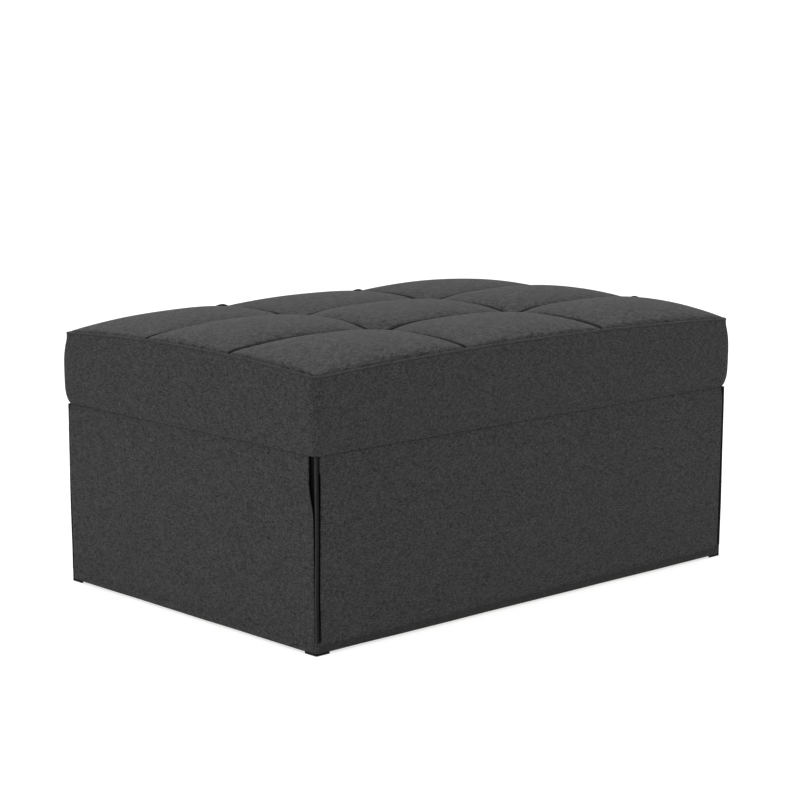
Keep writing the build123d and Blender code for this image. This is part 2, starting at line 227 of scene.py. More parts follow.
def beech(name):
    """Varnished slats: long pale grain with short dark flecks, each slat of its own tone."""
    g = Graph(name)
    place = g.add("ShaderNodeTexCoord").outputs["Object"]
    grain = g.noise(g.scaled(place, (5, 130, 130)), detail=5, roughness=0.6)
    fleck = g.noise(g.scaled(place, (160, 900, 300)), detail=1)
    board = g.noise(g.scaled(place, (0.1, 12, 3)), detail=0)
    tone = g.math("MULTIPLY_ADD", g.spread(board, 0.35, 0.65), 0.3, g.spread(grain, 0.3, 0.7, 0, 0.7))
    colour = g.mix(tone, (0.55, 0.36, 0.19, 1), (0.72, 0.53, 0.33, 1))
    colour = g.mix(g.spread(fleck, 0.62, 0.74, 0, 0.5), colour, (0.34, 0.2, 0.1, 1))
    g.shade(
        Base_Color=colour, Roughness=g.spread(grain, 0.3, 0.7, 0.34, 0.48), Coat_Weight=0.2,
        Coat_Roughness=0.25, Normal=g.bump(grain, 0.12),
    )
    return g.material


TOP_CLOTH = woven(
    "quilted_cloth", 0.0246, 0.97, sheen=0.08, range_of_shade=0.10, mottle=(70, 0.13), slub=(85, 120)
)
SIDE_CLOTH = woven("cover_cloth", 0.0270, 0.97, sheen=0.02, mottle=(80, 0.04))
# the strips' cloth: the cover's cloth painted darker, as the shade in the slits
PLEAT_CLOTH_SHADE_PAINTED = woven("pleat_cloth", 0.0205, 0.4)
# dark lining for the cover's insides; it also paints shade in the slits, on the strips, at the welt's tucks,
# along the hem and on the tabs' feet
LINING_AND_SHADE_PAINT = woven("black_lining_and_painted_shade", 0.0040, 0.3, pitch=1.6, relief=0.1, sheen=0.0)
# painted deep shade, on the strips' turned sides and in the bottoms of the quilting channels
DEEP_SHADE_PAINT = woven("painted_deep_shade", 0.0095, 0.4)
# painted half shade, along the front's and the rear's hem and on the sides of the quilting channels
HALF_SHADE_PAINT = woven("painted_half_shade", 0.0160, 0.6)
TICKING = woven("mattress_cloth", 0.50, 0.16, pitch=2.4, relief=0.3, sheen=0.1, warm=0.02, mottle=(55, 0.16))
PIPING = woven("piping_cloth", 0.30, 0.12, pitch=1.8, relief=0.2, sheen=0.1, warm=0.02)

FINISHES = {
    "frame_steel": plain_coat("frame_steel", 0.028, 1500, 0.42, 0.05),
    "plate_steel": plain_coat("plate_steel", 0.028, 1500, 0.40, 0.05),
    "hardware_steel": plated("hardware_steel"),
    "slat_wood": beech("slat_wood"),
    "holder_plastic": plain_coat("holder_plastic", 0.04, 1100, 0.55, 0.09, 0.4),
    "foot_rubber": plain_coat("foot_rubber", 0.03, 700, 0.8, 0.14, 0.25),
    "mattress_cloth": TICKING,
    "pleat_cloth": PLEAT_CLOTH_SHADE_PAINTED,
    "cover_cloth": SIDE_CLOTH,
    "quilted_cloth": TOP_CLOTH,
}


def finish_solids():
    """Give each carried-over solid the finish of the slot that the record names for it."""
    for part in frame["record"]["subparts"]:
        solid = nodes.get(part["node"])
        if solid is None:
            continue
        solid.data.materials.clear()
        solid.data.materials.append(FINISHES[part["material_slot"]])


# Meshes and curves

def grid_faces(rows, columns, wrap=False):
    """Quads of a grid whose points run row by row; wrap joins the last column to the first."""
    faces = []
    for i in range(rows - 1):
        for j in range(columns if wrap else columns - 1):
            k = (j + 1) % columns
            here, below = i * columns, (i + 1) * columns
            faces.append((here + j, below + j, below + k, here + k))
    return faces


class Shape:
    """Points, faces and cloth places of one piece, in millimetres until it is made."""

    def __init__(self):
        self.points, self.places, self.faces, self.kinds = [], [], [], []
        self.count = 0

    def add(self, points, places, faces, kinds):
        """Add a mesh; kinds numbers the material, in one value for all faces or in one for each."""
        points = np.asarray(points, float).reshape(-1, 3)
        self.points.append(points)
        self.places.append(np.asarray(places, float).reshape(-1, 3))
        self.faces += [tuple(self.count + v for v in face) for face in faces]
        self.kinds += list(kinds) if hasattr(kinds, "__len__") else [kinds] * len(faces)
        self.count += len(points)

    def sweep(self, loops, places, kind_of):
        """Closed tube through loops of points; a loop's second half runs back behind its first half.

        kind_of gives the material from the loop's number and the place in the loop."""
        loops = np.asarray(loops, float)
        n, m = loops.shape[:2]
        faces = grid_faces(n, m, wrap=True)
        kinds = [kind_of(i, j) for i in range(n - 1) for j in range(m)]
        for first in (0, (n - 1) * m):
            for j in range(m // 2 - 1):
                faces.append((first + j, first + j + 1, first + m - 2 - j, first + m - 1 - j))
                kinds.append(0)
        self.add(loops, places, faces, kinds)

    def make(self, name, body, materials, replaced):
        """The piece itself, which rides on a body and stands for the named solids."""
        data = bpy.data.meshes.new(name)
        points = np.concatenate(self.points) * MM
        data.from_pydata(points.tolist(), [], self.faces)
        place = data.attributes.new("cloth_place", "FLOAT_VECTOR", "POINT")
        spots = np.concatenate(self.places) * MM + np.array([0, 0, random.uniform(0, 9)])
        place.data.foreach_set("vector", spots.astype(np.float32).ravel())
        for material in materials:
            data.materials.append(material)
        data.polygons.foreach_set("material_index", np.array(self.kinds, np.int32))
        data.update()
        mesh = bmesh.new()
        mesh.from_mesh(data)
        bmesh.ops.recalc_face_normals(mesh, faces=mesh.faces)
        mesh.to_mesh(data)
        mesh.free()
        data.polygons.foreach_set("use_smooth", np.ones(len(data.polygons), bool))
        data.update()
        piece = bpy.data.objects.new(name, data)
        bpy.context.scene.collection.objects.link(piece)
        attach(piece, body)
        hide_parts(*replaced)
        return piece


def arch(share, fullness=2.0):
    """1 in the middle of a side and 0 at its ends; share runs from -1 to 1 along it."""
    return 1 - np.clip(np.abs(share), 0, 1) ** fullness


def hump(distance, reach):
    """Smooth bell: 1 at no distance, and next to nothing beyond two reaches."""
    return np.exp(-((distance / reach) ** 2))


def ramp(value, start, run):
    """0 up to start, and 1 from a run further on."""
    return min(1, max(0, (value - start) / run))


def edge_thickness(rim):
    """Thickness of the cloth where rim says how far into its rounded edge a place lies, from 0 to 1."""
    return CLOTH * math.sqrt(max(0, 1 - (1 - rim) ** 2))


def clustered(length, step, fine):
    """Places from 0 to length, close together at both ends, where fine gives the first of them."""
    fine = [f for f in fine if f < length / 3]
    count = max(3, int(round((length - 2 * fine[-1]) / step)) + 1)
    inner = np.linspace(fine[-1], length - fine[-1], count)
    return np.array(fine[:-1] + list(inner) + [length - f for f in fine[:-1]][::-1])


def both_ways(ends, limit, count):
    """Shares from -1 to 1: those of ends near both ends, and even ones between -limit and limit."""
    return np.concatenate([[-e for e in ends], np.linspace(-limit, limit, count), ends[::-1]])


class Ripple:
    """Low, smooth unevenness of hung cloth, from a few seeded waves."""

    def __init__(self, size, longest, count=6):
        self.size = size
        self.waves = [
            (random.uniform(-1, 1) * 2 * math.pi / longest, random.uniform(-1, 1) * math.pi / longest,
             random.uniform(0, 2 * math.pi), random.uniform(0.4, 1))
            for _ in range(count)
        ]

    def at(self, u, v):
        total = sum(w * np.sin(a * u + b * v + c) for a, b, c, w in self.waves)
        return self.size * total / math.sqrt(len(self.waves))


# Places round the cover: a share of a side runs from -1 to 1, and 1 is the end on the left seen from outside

def side_point(out, distance, along, height):
    return (out[0] * distance + out[1] * along, out[1] * distance - out[0] * along, height)


def sizes(out):
    """How far a side lies from the middle, and half its length."""
    return (HALF_DEPTH, HALF_WIDTH) if out[1] else (HALF_WIDTH, HALF_DEPTH)


def rise_fullness(out):
    return LONG_ARCH if out[1] else SHORT_ARCH


def corner_radius(name, q, t=1.0):
    """Rounding of the corner at the end of a side that q points to, at a share t of the boxing's height."""
    if (name, bool(q > 0)) in SOFT_ENDS:
        return BAND_CORNER + (SOFT_CORNER - BAND_CORNER) * min(1, t / SOFT_FROM)
    return BAND_CORNER


def round_end(q, distance, reach, r):
    """Place along, place outward and length left at a share q of a side whose corners are rounded by r."""
    straight = reach - r
    length = straight + r * math.pi / 4
    s = abs(q) * length
    turn = max(0, s - straight) / r
    if turn == 0:
        return math.copysign(s, q), distance, length - s
    return math.copysign(straight + r * math.sin(turn), q), distance - r + r * math.cos(turn), length - s


# Boxing

RIM = 0.09                               # rounding of the band's and skirt's cut edges at the seams
BAND_BULGE, BAND_FULLNESS = 6.4, 2.6     # how far the band bulges, and how square the bulge is
END_FULLNESS, END_REACH = 2.4, 26.0      # what its lower half gains in squareness towards a corner
END_EASE = 0.6                           # share of the waist's inset that is lost there
LIP, LIP_REACH = 1.6, 6.0                # how far the band stands out under the welt
CORNER_DRAWS = ((0.245, 1.2), (1.47, 13.0))    # how far a corner's seam draws in the cloth, over what length
LAYER_EASE = 0.6                         # how much tighter a corner's inner layer turns, per mm of depth
BAND_HEIGHTS = (0, 0.003, 0.007, 0.014, 0.026, 0.045, 0.07)
BAND_ENDS = (1, 0.9985, 0.996, 0.992, 0.987, 0.98, 0.97)


def band_swell(near, t):
    """How far the band stands out at a share t of its height; near is 1 at a corner."""
    fullness = BAND_FULLNESS + (END_FULLNESS * near if t < 0.5 else 0)
    inset = WAIST_INSET * (1 - t) * (1 - END_EASE * near)
    bulge = BAND_BULGE * (1 - abs(2 * t - 1) ** fullness)
    dip = SEAM_DIP * hump(t * BAND_LENGTH, SEAM_DIP_REACH)
    return bulge - inset - dip + LIP * hump((1 - t) * BAND_LENGTH, LIP_REACH)


def make_boxing(name, out):
    distance, reach = sizes(out)
    heights = clustered(1.0, 0.07, BAND_HEIGHTS)
    ripple = Ripple(0.5, 260)
    loops, places = [], []
    for q in both_ways(BAND_ENDS, 0.955, 61):
        outer, inner, spots = [], [], []
        near = hump((1 - abs(q)) * reach, END_REACH)
        for t in heights:
            swell = band_swell(near, t)
            thick = edge_thickness(min(1, min(t, 1 - t) * BAND_LENGTH / RIM))
            for layer, inward in ((outer, (CLOTH - thick) / 2), (inner, (CLOTH + thick) / 2)):
                r = corner_radius(name, q, t) - LAYER_EASE * inward
                al, d, left = round_end(q, distance + swell - inward, reach + swell - inward, r)
                draw = sum(size * hump(left, length) for size, length in CORNER_DRAWS)
                share = al / reach
                d -= EDGE_PULL * arch(share) * t ** 1.5 + draw
                d += ripple.at(al, t * BAND_LENGTH) * (1 - abs(q) ** 6) * math.sin(math.pi * t)
                z = WAIST_HEIGHT + t * (BAND_LENGTH + EDGE_RISE * arch(share, rise_fullness(out)))
                layer.append(side_point(out, d, al - math.copysign(draw, q), z))
            spots.append((q * reach, t * BAND_LENGTH, 0))
        loops.append(outer + inner[::-1])
        places.append(spots + spots[::-1])
    shape = Shape()
    front_faces = len(heights) - 1
    # the inner layer takes the dark lining, which also paints the shade inside the cover
    shape.sweep(loops, places, lambda i, j: 0 if j < front_faces else 1)
    piece = shape.make(
        f"cover_boxing_{name}", "cover", [SIDE_CLOTH, LINING_AND_SHADE_PAINT], [f"boxing_{name}"]
    )


# Skirt

HEM_HEIGHT, HEM_INSET = 3.6, 2.0
HEM_BAND, HEM_LAYER, HEM_STEP = 14.0, 0.35, 1.2    # height of the turned hem, and how far it stands out
STITCH_DRAW, STITCH_PLACE, STITCH_REACH = 0.7, 0.3, 0.8    # depth of the hem's stitch line, its place, width
HEM_LINES = (-1.2, -0.5, 0, 0.5, 1.2)    # rows of points about the hem's upper edge
HEM_SHADE_BAND = 9.5                           # height of the band of painted shade along the front's and the rear's hem
SEAM_SHOWN = 0.02                        # what is left open between the skirt and the boxing
SKIRT_BELLY, BELLY_DROP = 1.5, 45.0
TAB_TOP, TAB_LEG = 22.0, 8.1
TAB_ROOM = 0.1
END_SLIT, LONG_SLIT = 6.8, 10.4          # from a corner to the skirt's end, on the short and the long sides
NEAR_BOW, BOW = 9.2, 0.6              # how far a short side's edge bows back, at the near slit and elsewhere
BOW_FROM, BOW_RUN = 44, 56               # depth below which that curve closes, and over what depth
BOW_TOP, BOW_TOP_LOSS, BOW_TOP_REACH = 0.45, 0.4, 18    # what it gains right under the waist
END_LAP = (0.3, 180, 60)                 # what it loses again lower down, from what depth, over what depth
LONG_GAP = 0.4                           # how far a long side's edge stands back
LONG_LAP = (1.3, 22, 7)                  # how far it reaches over the slit, at what depth, and how broadly
RIGHT_LAP = 2.2                          # how much further its right end reaches
LOW_GAP = (1.8, 225, 40)                 # what its left end stands back near the hem, from what depth
# How far one end of a panel stands out below the waist, and to what depth
FLARES = {"left": (2.6, 220), "right": (5.2, 75)}
FLARE_REACH, FLARE_START = 34, 4         # how far from the end, and how soon below the waist
EDGE_DRAW, EDGE_REACH = 0.8, 1.4         # how far a panel's end turns in
SKIRT_DROPS = (0, 0.35, 0.9, 1.8, 3.2, 5, 8)
SKIRT_ENDS = (1, 0.9993, 0.9983, 0.997, 0.995, 0.992, 0.987, 0.98)
SHADED_ENDS = 5                          # loops at the left panel's rear end that lie in the slit's shadow, painted dark


def slit_edge(name, sign, drop):
    """How far the edge of a skirt panel stands back from its slit, at a depth below the waist."""
    if name in ("left", "right"):
        bow = NEAR_BOW if (name, sign) == ("left", -1) else BOW
        closed = ramp(drop, BOW_FROM, BOW_RUN)
        back = bow * (1 - closed * closed * (3 - 2 * closed))
        back += (BOW_TOP * bow - BOW_TOP_LOSS) * hump(drop, BOW_TOP_REACH)
        return back - END_LAP[0] * ramp(drop, *END_LAP[1:])
    gap = LONG_GAP - LONG_LAP[0] * hump(drop - LONG_LAP[1], LONG_LAP[2])
    return gap - RIGHT_LAP if sign < 0 else gap + LOW_GAP[0] * ramp(drop, *LOW_GAP[1:])


def skirt_swell(name, q, drop, full, edge):
    """How far a panel stands out, apart from its slow unevenness; edge is the distance from its end."""
    if drop < BELLY_DROP:
        swell = -WAIST_INSET + (SKIRT_BELLY + WAIST_INSET) * (1 - (1 - drop / BELLY_DROP) ** 2)
    else:
        swell = SKIRT_BELLY - (SKIRT_BELLY + HEM_INSET) * (drop - BELLY_DROP) / (full - BELLY_DROP)
    swell -= SEAM_DIP * hump(drop, SEAM_DIP_REACH)
    above_band = full - drop - HEM_BAND
    swell += HEM_LAYER * ramp(-above_band, 0, HEM_STEP)
    swell -= STITCH_DRAW * hump(above_band - STITCH_PLACE, STITCH_REACH)
    swell -= EDGE_DRAW * hump(edge, EDGE_REACH)
    if name in FLARES and q > 0:
        size, depth = FLARES[name]
        lean = ramp(depth - drop, 0, depth / 1.6)
        swell += size * math.exp(-edge / FLARE_REACH) * lean * (1 - hump(drop, FLARE_START))
    return swell


def make_skirt(name, out):
    distance, reach = sizes(out)
    length = reach - (END_SLIT if out[0] else LONG_SLIT)
    top = WAIST_HEIGHT - SEAM_SHOWN
    full = top - HEM_HEIGHT
    hem_line = full - HEM_BAND
    drops = [d for d in clustered(full, 12, SKIRT_DROPS) if abs(d - hem_line) > 2]
    drops = sorted(set(drops + [hem_line + k for k in HEM_LINES]))
    ripple, folds = Ripple(0.9, 330), Ripple(0.5, 130)
    loops, places = [], []
    for q in both_ways(SKIRT_ENDS, 0.97, 81):
        outer, inner, spots = [], [], []
        sign = 1 if q > 0 else -1
        along = q * reach
        edge = (1 - abs(q)) * length
        for drop in drops:
            z = top - drop
            from_hem = full - drop
            swell = skirt_swell(name, q, drop, full, edge)
            ease = min(1, drop / 60) * (1 - abs(q) ** 8)
            swell += ease * (ripple.at(along, drop) + folds.at(along, drop) * min(1, drop / 250))
            # below the top of a tab the panel runs on to it
            end = reach - TAB_LEG - TAB_ROOM if z < TAB_TOP else length - slit_edge(name, sign, drop)
            thick = edge_thickness(min(1, drop / RIM, from_hem, edge))
            middle = distance + swell - CLOTH / 2
            outer.append(side_point(out, middle + thick / 2, q * end, z))
            inner.append(side_point(out, middle - thick / 2, q * end, z))
            spots.append((along, z, 0))
        loops.append(outer + inner[::-1])
        places.append(spots + spots[::-1])
    # the lowest rows, where the hem turns, are painted dark as shade near the floor; the inside takes the
    # dark lining, which also stands for shade
    outer_faces = len(drops) - 3
    kinds = [0] * outer_faces + [1] * (2 * len(drops) - outer_faces)
    # the front's and the rear's lowest band is painted darker, as shade where the hem turns in
    if out[1]:
        kinds[:outer_faces] = [2 if full - drops[j + 1] < HEM_SHADE_BAND else 0 for j in range(outer_faces)]
    shaded_from = len(loops) - SHADED_ENDS if name == "left" else len(loops)
    shape = Shape()
    shape.sweep(loops, places, lambda i, j: kinds[j] if i < shaded_from else 1)
    piece = shape.make(
        f"cover_skirt_{name}", "cover", [SIDE_CLOTH, LINING_AND_SHADE_PAINT, HALF_SHADE_PAINT], [f"skirt_{name}"]
    )


# Pleats and tabs at the corners, with places given inward from the side face and from the front or rear face

STRIP_CENTRE, STRIP_RADIUS, STRIP_SIDES = (5.5, 3.6), 3.1, 24
STRIP_LEAN, LEAN_HEIGHT = 1.8, 220       # how far a strip leans outward, and up to what height
# Directions about a strip, in degrees, between which its cloth is painted in half shade and then in deep
# shade
SHADE_FROM, DARK_FROM, DARK_TO = 207, 252, 345
FAR_DARK_FROM = 100                      # where the painted deep shade starts at the three corners other than the near one
BACK_REACH, BACK_FACE, BACK_THICK = 31, 8.9, 1.5    # the backing behind a strip, dark as painted shade in the slit: its legs, face and thickness
BACK_BOTTOM = 10
TAB_FOOT = 30.0                          # legs of a tab's foot
FOOT_HEIGHTS, TAB_HEIGHTS = (0.5, 0.9, 4.2, 4.7), (4.7, 5.4, 10, 16, 21.2, 22)
TAB_THICK = CLOTH + 0.8
TAB_CORNER, TAB_TUCK = 3.2, 0.4          # rounding of a tab's corner, and how far its rims draw in


def corner_point(hand, end, a, b, z):
    return (hand * (HALF_WIDTH - a), end * (HALF_DEPTH - b), z)


def rounded(outline, radii, steps=4):
    """Outline with its corners cut by short curves, where a radius of 0 leaves a corner sharp."""
    made = []
    for i, r in enumerate(radii):
        here, before, after = (np.array(outline[k % len(outline)], float) for k in (i, i - 1, i + 1))
        if r == 0:
            made.append(tuple(here))
            continue
        u = (before - here) / np.linalg.norm(before - here)
        v = (after - here) / np.linalg.norm(after - here)
        for k in range(steps + 1):
            w = k / steps
            made.append(tuple(here + r * ((1 - w) ** 2 * u + w ** 2 * v)))
    return made


def prism(shape, outline, heights, kinds, hand, end, bend=None):
    """Closed prism over an outline; kinds gives the material of each side, and bend moves a point."""
    n = len(outline)
    points, places = [], []
    lengths = np.concatenate([[0], np.cumsum([math.dist(a, b) for a, b in zip(outline, outline[1:])])])
    for z in heights:
        for length, (a, b) in zip(lengths, outline):
            if bend:
                a, b = bend(a, b, z)
            points.append(corner_point(hand, end, a, b, z))
            places.append((length, z, 0))
    top = (len(heights) - 1) * n
    faces = grid_faces(len(heights), n, wrap=True) + [tuple(range(n)), tuple(range(top, top + n))]
    shape.add(points, places, faces, kinds * (len(heights) - 1) + [kinds[0]] * 2)


def make_pleats(name, end):
    """The rolled strips at both ends of the front or the rear, each with a dark backing that paints the shade
    in its slits.
    """
    shape = Shape()
    low, high = TAB_TOP - 0.4, WAIST_HEIGHT - SEAM_GAP
    middle_heights = list(np.linspace(low + 12, high - 8, 16)) + [high - 1, high]
    turns = np.linspace(0, 2 * math.pi, STRIP_SIDES + 1)[:-1]
    a0, b0 = STRIP_CENTRE
    strip = [(a0 + STRIP_RADIUS * math.cos(k), b0 + STRIP_RADIUS * math.sin(k)) for k in turns]
    behind = BACK_FACE + BACK_THICK
    back = rounded(
        [(BACK_REACH, BACK_FACE), (BACK_REACH, behind), (behind + 0.1, behind + 0.1), (behind, BACK_REACH),
         (BACK_FACE, BACK_REACH), (BACK_FACE + 0.2, BACK_FACE + 0.2)],
        [0.7, 0.7, 1.2, 0.7, 0.7, 1.2],
    )
    for hand in (-1, 1):
        near = (hand, end) == (-1, -1)
        dark_from = DARK_FROM if near else FAR_DARK_FROM
        shades = [
            1 if dark_from <= d < DARK_TO else 2 if SHADE_FROM <= d < DARK_FROM else 0
            for d in np.degrees(turns)
        ]
        phase = random.uniform(0, 6)
        lean = 0 if near else STRIP_LEAN / LEAN_HEIGHT

        def bend(a, b, z, phase=phase, lean=lean):
            a -= lean * min(LEAN_HEIGHT, z)
            return a + 0.25 * math.sin(z / 37 + phase), b + 0.3 * math.sin(z / 29 + 2 * phase)

        prism(shape, strip, [low, low + 1] + middle_heights, shades, hand, end, bend)
        prism(shape, back, [BACK_BOTTOM, BACK_BOTTOM + 1] + middle_heights, [1] * len(back), hand, end)
    piece = shape.make(
        f"cover_pleats_{name}", "cover", [PLEAT_CLOTH_SHADE_PAINTED, LINING_AND_SHADE_PAINT, DEEP_SHADE_PAINT], [f"pleats_{name}"]
    )


def make_tabs():
    """Corner tabs: a narrow upper part in the cover's cloth on a longer foot painted dark, as shade along the
    floor.
    """
    shape = Shape()
    face, inner = HEM_INSET, HEM_INSET + TAB_THICK
    for end in (-1, 1):
        for hand in (-1, 1):
            for leg, heights, kind, cut in ((TAB_FOOT, FOOT_HEIGHTS, 1, 0.6), (TAB_LEG, TAB_HEIGHTS, 0, 0)):
                outline = rounded(
                    [(face, face), (leg, face), (leg, inner), (inner, inner), (inner, leg), (face, leg)],
                    [TAB_CORNER, cut, 0.3, 0.8, 0.3, cut], 5,
                )
                rims = (heights[0], heights[-1])

                def bend(a, b, z, rims=rims):
                    tuck = TAB_TUCK * (z in rims)
                    return a + tuck * (a < face + 2), b + tuck * (b < face + 2)

                prism(shape, outline, heights, [kind] * len(outline), hand, end, bend)
    piece = shape.make("cover_corner_tabs", "cover", [SIDE_CLOTH, LINING_AND_SHADE_PAINT], ["corner_tabs"])


# Quilted top

TOP_LIFT, TOP_INSET = 1.0, 2.0           # top panel's edge above the corner height and inside the corner line
TILE_CROWNS = ((22.6, 25.6, 20.8), (21.3, 23.3, 19.7), (24.9, 24.9, 23.1))    # low X first, low Y first
TILE_POWER, RIM_POWER, EASY_POWER = 0.364, 0.49, 0.62    # the last at the front and left rims
CENTRE_RISE = 2.7
CREASE_DEPTH, CREASE_WIDTH = 13.0, 2.5
CREASE_LOSS, CREASE_END = 0.7, 5         # share of its depth that a crease loses at the rim, and how near it
NEAR_DIP, FAR_DIP, DIP_REACH = 8.0, 4.5, 45.0    # how far the crossings of the seams are drawn down
PUCKER, PUCKER_LENGTH = 0.35, 17         # height of the puckers along the seams, and their longest wave
PUCKER_PLACE, PUCKER_WIDTH = 6, 9        # their place beside the seam, and how broad they are
PUCKER_START, SMOOTH_RIM = 20, 30        # how far they fade towards a crossing and towards the rim
RIM_DRAW, RIM_DRAW_REACH, RIM_DRAW_WIDTH = 0.8, 14, 7
TUCK_SHARE, TUCK_REACH = 0.12, 5         # what the panel's rim takes of the welt's rise
SEAM_DEEP_SHADE, SEAM_HALF_SHADE = 4, 5.6           # half widths of a channel's bottom painted in deep shade and of its sides painted in half shade
SEAM_PLACES = (0, 0.5, 1.1, 1.8, 2.7, 3.9, 5.5, 7.6, 10.4, 14)
UNDER_SHARES = (0.985, 0.98)             # size of the panel's flat underside as a share of its top


def tile_places(half_length):
    """Places along one axis from -1 to 1, close together at the seams."""
    span = 2 * half_length / TILES
    one = clustered(span, 6.2, SEAM_PLACES)
    spots = []
    for tile in range(TILES):
        spots += [(tile * span + s) / half_length - 1 for s in (one if tile == 0 else one[1:])]
    return np.array(spots)


def in_tile(places, half_length):
    """Number of the tile at each place, place within it from -1 to 1, power of its crown, and distance to
    its edge."""
    position = (places + 1) * TILES / 2
    tile = np.clip(np.floor(position), 0, TILES - 1)
    within = 2 * (position - tile) - 1
    power = np.where(np.abs(places) > 1 - 1 / TILES, RIM_POWER, TILE_POWER)
    power = np.where((places < 1 / TILES - 1) & (within < 0), EASY_POWER, power)
    return tile.astype(int), within, power, (1 - np.abs(within)) * half_length / TILES


def surface_run(side, height, axis):
    """Length along the surface in one direction of the grid, from the middle."""
    steps = np.cumsum(np.hypot(np.diff(side, axis=axis), np.diff(height, axis=axis)), axis=axis)
    run = np.concatenate([np.zeros_like(steps.take([0], axis=axis)), steps], axis=axis)
    return run - run.take([side.shape[axis] // 2], axis=axis)


def quilt_height(X, Y, from_x, from_y, to_edge, fullness, crown):
    """Height of the quilted top at shares X and Y of its half sizes."""
    base = CORNER_HEIGHT + TOP_LIFT + EDGE_RISE * (1 - np.abs(X) ** LONG_ARCH * np.abs(Y) ** SHORT_ARCH)
    base += CENTRE_RISE * (1 - X**2) * (1 - Y**2)
    # the cloth is drawn down where two seams cross, most of all at the near crossing
    from_crossing = np.hypot((np.abs(X) - 1 / TILES) * HALF_WIDTH, (np.abs(Y) - 1 / TILES) * HALF_DEPTH)
    base -= np.where((X < 0) & (Y < 0), NEAR_DIP, FAR_DIP) * hump(from_crossing, DIP_REACH)
    crease = CREASE_DEPTH * np.maximum(hump(from_x, CREASE_WIDTH), hump(from_y, CREASE_WIDTH))
    crease *= 1 - CREASE_LOSS * hump(to_edge, CREASE_END)
    wrinkle = 0
    puckers = Ripple(PUCKER, PUCKER_LENGTH, 5), Ripple(PUCKER, PUCKER_LENGTH, 5)
    for pucker, run, beside, ahead in (
        (puckers[0], Y * HALF_DEPTH, from_x, from_y), (puckers[1], X * HALF_WIDTH, from_y, from_x),
    ):
        fade = hump(beside - PUCKER_PLACE, PUCKER_WIDTH) * np.clip(ahead / PUCKER_START, 0, 1)
        wrinkle += pucker.at(run, 0) * fade
    wrinkle *= 1 - hump(to_edge, SMOOTH_RIM)
    swell = Ripple(0.5, 170, 8).at(X * HALF_WIDTH, Y * HALF_DEPTH) * fullness
    z = base + crown - crease + wrinkle + swell
    # where a seam runs out to the welt it is drawn down
    seam_x = np.where(np.isclose(np.abs(X), 1), np.inf, from_x)
    seam_y = np.where(np.isclose(np.abs(Y), 1), np.inf, from_y)
    z -= RIM_DRAW * hump(to_edge, RIM_DRAW_REACH) * hump(np.minimum(seam_x, seam_y), RIM_DRAW_WIDTH)
    for name, run, edge_gap in (
        ("front", -X * HALF_WIDTH, (1 + Y) * HALF_DEPTH), ("rear", X * HALF_WIDTH, (1 - Y) * HALF_DEPTH),
        ("left", Y * HALF_DEPTH, (1 + X) * HALF_WIDTH), ("right", -Y * HALF_DEPTH, (1 - X) * HALF_WIDTH),
    ):
        rise, breadth, spots = TUCKS[name]
        for spot in spots:
            z += TUCK_SHARE * rise * np.exp(-(((run - spot) / breadth) ** 4)) * hump(edge_gap, TUCK_REACH)
    return z


def quilt_plan(X, Y):
    """Plan of the quilted top: its sides are drawn in towards their middles, and its corners rounded."""
    x = X * (HALF_WIDTH - TOP_INSET - EDGE_PULL * (1 - Y**2))
    y = Y * (HALF_DEPTH - TOP_INSET - EDGE_PULL * (1 - X**2))
    r = np.where((X < 0) & (Y < 0), SOFT_CORNER, BAND_CORNER)
    u = np.clip((np.abs(x) - HALF_WIDTH + TOP_INSET + r) / r, 0, 1)
    v = np.clip((np.abs(y) - HALF_DEPTH + TOP_INSET + r) / r, 0, 1)
    x -= np.sign(X) * r * u * (1 - np.sqrt(1 - v**2 / 2))
    y -= np.sign(Y) * r * v * (1 - np.sqrt(1 - u**2 / 2))
    return x, y


